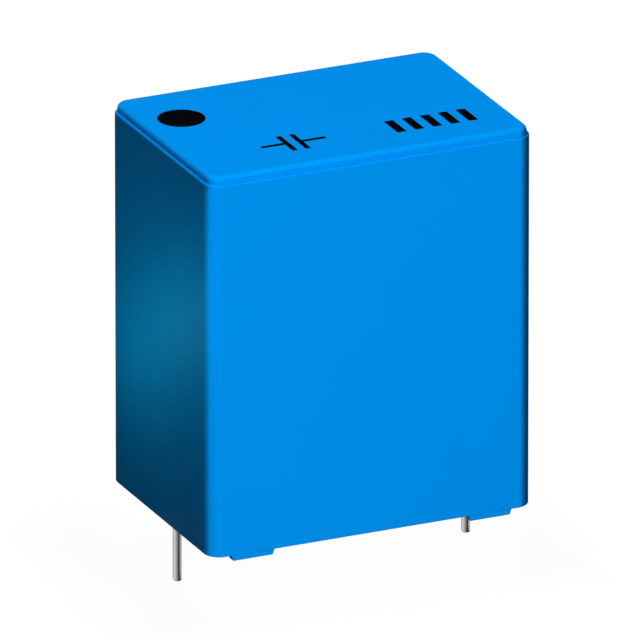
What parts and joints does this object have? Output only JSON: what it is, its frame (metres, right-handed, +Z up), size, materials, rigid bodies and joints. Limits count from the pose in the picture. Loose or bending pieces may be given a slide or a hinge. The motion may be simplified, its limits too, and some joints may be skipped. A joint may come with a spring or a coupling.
{
  "type": "box film capacitor",
  "caption": "Upright box film capacitor: a blue moulded case on small corner feet, filled with resin round a flattened film winding, with stiff wire leads below.",
  "frame": {"origin": "midway between the two leads, on the plane of the feet, which is the circuit board's surface; the leads reach below it", "axes": "+X from the left lead to the right lead, along the long side; +Y across the case, away from the wide front face; +Z up, away from the board"},
  "size_m": [0.0308, 0.0212, 0.0411],
  "materials": {
    "case_plastic": "satin moulded, saturated blue",
    "potting_resin": "cast, smooth, dark grey",
    "metallised_film": "wound film with a thin metal coat",
    "plain_film": "clear amber wrap",
    "sprayed_metal": "rough sprayed zinc",
    "tinned_wire": "bright tin on drawn wire"
  },
  "bodies": {
    "root": {"case": "case_plastic", "potting_resin": "potting_resin", "film_winding": "metallised_film", "cover_film": "plain_film", "end_spray_left": "sprayed_metal", "end_spray_right": "sprayed_metal", "lead_left": "tinned_wire", "lead_right": "tinned_wire"}
  },
  "joints": []
}
